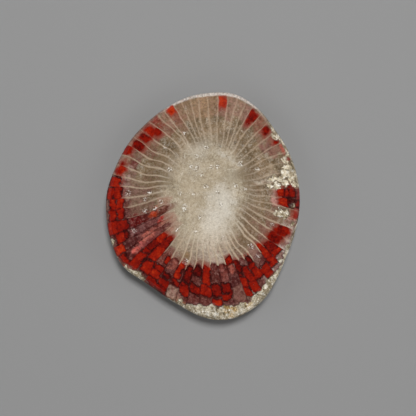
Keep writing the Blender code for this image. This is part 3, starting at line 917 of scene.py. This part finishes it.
# The wine-red agate, with a rosy bloom in front of it
to_septum = product(calc("PINGPONG", share_true, 0.5), breadth)
wine_notch = product(slope(to_septum, 0.4, 0.0), 0.45)
wine_inside = calc("SUBTRACT", wine_depth, wine_notch, inset)
wine_mask = slope(wine_inside, -0.1, 0.15)
not_wine = opposite(wine_mask)
wine_noise = grain(streak_place, 1.8, 4.0, 0.65)
wine = paint((65, 16, 14), (95, 36, 30), slope(wine_noise, 0.38, 0.62))
wine = paint(wine, (92, 50, 48), slope(clear_cloud, 0.45, 0.65), 0.6)
clear = paint(clear, (124, 84, 72), slope(wine_inside, -2.5, 0.0), has_wine, 0.85)
ground = paint(clear, wine, wine_mask)

# Clouds, stains and the rim's skin with its painted highlight and sheen, broken up by the grain of
# the stone
cast_break = blend(slope(fine_grain, 0.34, 0.56), 0.72, 1.0)
cast_cover = product(read("tint", "Alpha"), cast_break)
cast_colour = scaled(read("tint", "Color"), cast_break)
ground = summed(scaled(ground, opposite(cast_cover)), cast_colour)

# Painted glints of crystals, white with dark specks beside them, and flecks in the wine and in the stains
stained = calc("MAXIMUM", wine_mask, product(cast_cover, not_middle))
spark_patches = slope(grain(place, 0.8, 2.0, 0.5), 0.48, 0.62)
# Random sparks in the clear agate, painted glints as well
clear_sparks = product(opposite(stained), spark_patches, 0.17)
crystal_glint_mask = calc("MAXIMUM", read("crystal_glint_share"), clear_sparks)
spark_noise = grain(place, 4.4, 3.0, 0.65)
speck_noise = grain(place, 2.2, 4.0, 0.75)
broad_noise = grain(place, 1.3, 4.0, 0.7)
long_streaks = grain(streak_place, 1.7, 4.0, 0.7)
# The same for the flecks, each with its strength
for pattern, low, high, mask, strength, colour in (
    # Painted glints: white specks on the crystals and sparks
    (spark_noise, 0.52, 0.58, crystal_glint_mask, 0.95, (246, 242, 234)),
    (spark_noise, 0.47, 0.4, crystal_glint_mask, 0.7, (84, 66, 50)),
    (broad_noise, 0.5, 0.64, stained, 0.45, (136, 88, 82)),
    (broad_noise, 0.5, 0.38, stained, 0.4, (74, 24, 22)),
    (speck_noise, 0.53, 0.7, stained, 0.45, (168, 132, 122)),
    (speck_noise, 0.5, 0.34, stained, 0.55, (56, 22, 20)),
    (long_streaks, 0.53, 0.66, stained, 0.26, (172, 116, 108)),
    (long_streaks, 0.47, 0.34, stained, 0.5, (64, 22, 22)),
):
    ground = paint(ground, colour, slope(pattern, low, high), mask, strength)

# Septa: soft pale lines in the clear agate, thin dark cracks in the wine and round its blocks
line_width = slope(grain(place, 0.9, 3.0, 0.6), 0.3, 0.7)
line_reach = blend(line_width, SEPTUM_LEAST, SEPTUM_MOST)
septum_line = slope(calc("DIVIDE", to_septum, line_reach), 1.0, 0.15)
off_rim = blend(slope(inset_true, 0.5, 3.5), 0.6, 1.0)
line_share = product(septum_line, read("septa_strength"), off_rim, not_wine, 0.85)
line_colour = paint((181, 161, 138), (226, 217, 201), middle)
ground = paint(ground, line_colour, line_share)
crack_break = slope(grain(place, 1.9, 3.0, 0.6), 0.36, 0.58)
crack_line = product(slope(to_septum, 0.17, 0.03), wine_mask, 0.7)
near_block = product(slope(inside, -0.26, -0.08), wine_mask)
crack_both = calc("MAXIMUM", crack_line, near_block)
crack = product(crack_both, blend(crack_break, 0.4, 1.0))
ground = paint(ground, (44, 8, 6), crack, 0.96)

# The red agate of the blocks, darker towards their edges, with a dull red halo in the clear agate
tone_swing = swing(grain(place, 1.5, 4.0, 0.65), 1.5)
off_edge = calc("SUBTRACT", slope(inside, 0.0, 0.3), 1.0)
edge_dark = product(off_edge, blend(wine_mask, 0.06, 0.4))
red_ramp = add("ValToRGB", [(0, total(tone, tone_swing, edge_dark))])
elements = red_ramp.color_ramp.elements
for index, (stop, colour) in enumerate(RED_TONES):
    element = elements[index] if index < 2 else elements.new(stop)
    element.position = stop
    element.color = on_screen(colour) + (1.0,)
dusty = slope(fine_grain, 0.54, 0.72)
red_agate = paint(red_ramp.outputs[0], (150, 74, 56), dusty, 0.16)
halo = product(slope(inside, -0.8, 0.0), not_wine, slope(inset_true, 0.1, 1.0))
ground = paint(ground, (136, 60, 48), halo, 0.7)
soft_low, soft_high = blend(wine_mask, -0.2, -0.05), blend(wine_mask, 0.22, 0.07)
red_mask = slope(inside, soft_low, soft_high)
stone_colour = paint(ground, red_agate, red_mask)

# The rind: cream crusts and flakes, olive in the gaps between them. Its grain is painted lit and
# shaded, white on the raised crumbs and dark brown in the hollows, as painted highlight and shade.
# It gets paler from low on the face up to the middle of its length.
flake_inputs = [("Vector", summed(ragged_colour, place)), ("Scale", 1.5)]
flakes = add("TexVoronoi", flake_inputs, feature="DISTANCE_TO_EDGE")
flake_gap = slope(flakes.outputs["Distance"], 0.1, 0.02)
rind_noise = grain(place, 0.9, 5.0, 0.75)
rind_here = slope(total(rind_mask, swing(rind_noise, 2.6)), 0.42, 0.6)
rind_grain = grain(place, 1.6, 5.0, 0.85)
rind_patches = grain(place, 0.7, 3.0, 0.6)
rind_colour_and_light = paint((164, 148, 121), (208, 195, 170), slope(rind_patches, 0.4, 0.58))
rind_colour_and_light = paint(rind_colour_and_light, (192, 152, 82), read("ochre_share"), 0.85)
# Painted highlight and shade: white on the grain's raised crumbs, dark brown in its hollows
rind_colour_and_light = paint(rind_colour_and_light, (240, 234, 221), slope(rind_grain, 0.51, 0.58))
rind_colour_and_light = paint(rind_colour_and_light, (80, 66, 46), slope(rind_grain, 0.45, 0.38))
dark_gap = product(flake_gap, slope(rind_patches, 0.62, 0.46))
rind_colour_and_light = paint(rind_colour_and_light, (96, 86, 60), dark_gap, 0.7)
rind_colour_and_light = scaled(rind_colour_and_light, spread(split(place)[1], -14.0, 2.0, 0.99, 1.24))
red_free = blend(red_mask, 1.0, 0.15)
stone_colour = paint(stone_colour, (120, 108, 80), slope(rind_mask, 0.1, 0.6), red_free, 0.45)
stone_colour = paint(stone_colour, rind_colour_and_light, rind_here, red_free)

# The natural skin of the wall, with painted shade where it dips in, the dusty sawn back, and a
# fine crystalline mottle through the stone
skin_grain = grain(place, 1.2, 6.0, 0.7)
skin_colour_and_shade = paint((140, 120, 96), (192, 178, 154), slope(skin_grain, 0.35, 0.65))
# Painted shade: the skin darker in its hollows and towards the rounded foot, where the wall dips in
skin_colour_and_shade = paint(skin_colour_and_shade, (92, 74, 58), slope(read("wall_dip"), 0.08, 0.3), 0.5)
stone_colour = paint(stone_colour, skin_colour_and_shade, skin_mask)
stone_colour = paint(stone_colour, (176, 164, 148), back_mask, 0.4)
mottle_share = spread(grain(place, 4.2, 3.0, 0.7), 0.3, 0.7, 0.82, 1.18)
tree.links.new(scaled(stone_colour, mottle_share), shader.inputs["Base Color"])

# Gloss: polished agate, less of it on the rim and in cracks, none on rind, natural skin and back
dull = calc("MAXIMUM", rind_here, slope(rind_mask, 0.02, 0.2), skin_mask, back_mask)
ground_edge = product(slope(inset_true, 0.8, 0.6), 0.5)
polished_here = total(POLISHED_ROUGHNESS, ground_edge, product(crack, 0.2))
tree.links.new(blend(dull, polished_here, DULL_ROUGHNESS), shader.inputs["Roughness"])
shader.inputs["IOR"].default_value = AGATE_IOR

# Relief finer than the mesh, in millimetres: rind grain, skin grain and saw marks
saw_inputs = [("Vector", place), ("Scale", 0.9), ("Distortion", 0.6), ("Detail", 2.0)]
saw_marks = add("TexWave", saw_inputs, bands_direction="Y").outputs["Fac"]
relief = total(
    product(rind_grain, rind_here, 0.25), product(skin_grain, skin_mask, 0.25),
    product(saw_marks, back_mask, 0.03),
)
bump = add("Bump", [("Strength", 1.0), ("Distance", MM), ("Height", relief)])
tree.links.new(bump.outputs[0], shader.inputs["Normal"])

stone_mesh.materials.append(polished_coral)
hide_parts("coral_slice")
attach(polished_slice, "root")

# The floor: a plain pale matte board under the stone, wide enough to fill every view.
FLOOR_SIDE = 1.2
FLOOR_COLOUR = (0.29, 0.29, 0.29, 1.0)
floor_mesh = bpy.data.meshes.new("floor")
half = FLOOR_SIDE / 2
floor_corners = [(-half, -half, 0), (half, -half, 0), (half, half, 0), (-half, half, 0)]
floor_mesh.from_pydata(floor_corners, [], [(0, 1, 2, 3)])
floor = bpy.data.objects.new("floor", floor_mesh)
floor_paint = bpy.data.materials.new("floor_board")
floor_paint.use_nodes = True
floor_shader = floor_paint.node_tree.nodes["Principled BSDF"]
floor_shader.inputs["Base Color"].default_value = FLOOR_COLOUR
floor_shader.inputs["Roughness"].default_value = 0.9
floor_mesh.materials.append(floor_paint)
bpy.context.scene.collection.objects.link(floor)

# Soft studio light: a key panel nearly overhead, towards the stone's top edge, that casts the short
# shadow, weak panels low on three sides and a dim surround. The key is polarised, as for a photograph
# of a polished stone, so that the face doesn't mirror it.
KEY_SIDE = 0.11
WEAK_SIDE = 0.4
SURROUND_STRENGTH = 0.02


def light_panel(name, place, side, watts, polarised=False):
    """A square lamp that faces the stone. A polarised one isn't mirrored in the polish."""
    lamp = bpy.data.lights.new(name, "AREA")
    lamp.shape = "SQUARE"
    lamp.size = side
    lamp.energy = watts
    panel = bpy.data.objects.new(name, lamp)
    panel.location = place
    panel.rotation_euler = (-Vector(place)).to_track_quat("-Z", "Y").to_euler()
    panel.visible_glossy = not polarised
    bpy.context.scene.collection.objects.link(panel)


light_panel("key_panel", (0.035, 0.14, 0.472), KEY_SIDE, 1.94, polarised=True)
light_panel("left_panel", (-0.42, 0.0, 0.36), WEAK_SIDE, 0.44)
light_panel("right_panel", (0.42, 0.0, 0.36), WEAK_SIDE, 0.42)
light_panel("near_panel", (0.0, -0.42, 0.36), WEAK_SIDE, 0.42)
surround = bpy.data.worlds.new("surround")
surround.use_nodes = True
background = surround.node_tree.nodes["Background"]
background.inputs["Color"].default_value = (1.0, 1.0, 1.0, 1.0)
background.inputs["Strength"].default_value = SURROUND_STRENGTH
bpy.context.scene.world = surround
bpy.context.scene.view_settings.view_transform = "Standard"

# The camera looks straight down, as the photographer's did, over a point just beside the middle.
FRAME_WIDTH = 0.0696
AIM = (0.00084, -0.00033)
LENS = 85.0
camera_data = bpy.data.cameras.new("camera")
camera_data.lens = LENS
camera_data.clip_start = 0.01
camera_data.clip_end = 3.0
camera = bpy.data.objects.new("camera", camera_data)
camera_distance = FRAME_WIDTH * LENS / camera_data.sensor_width
camera.location = (AIM[0], AIM[1], RIM_HEIGHT * MM + camera_distance)
bpy.context.scene.collection.objects.link(camera)
bpy.context.scene.camera = camera
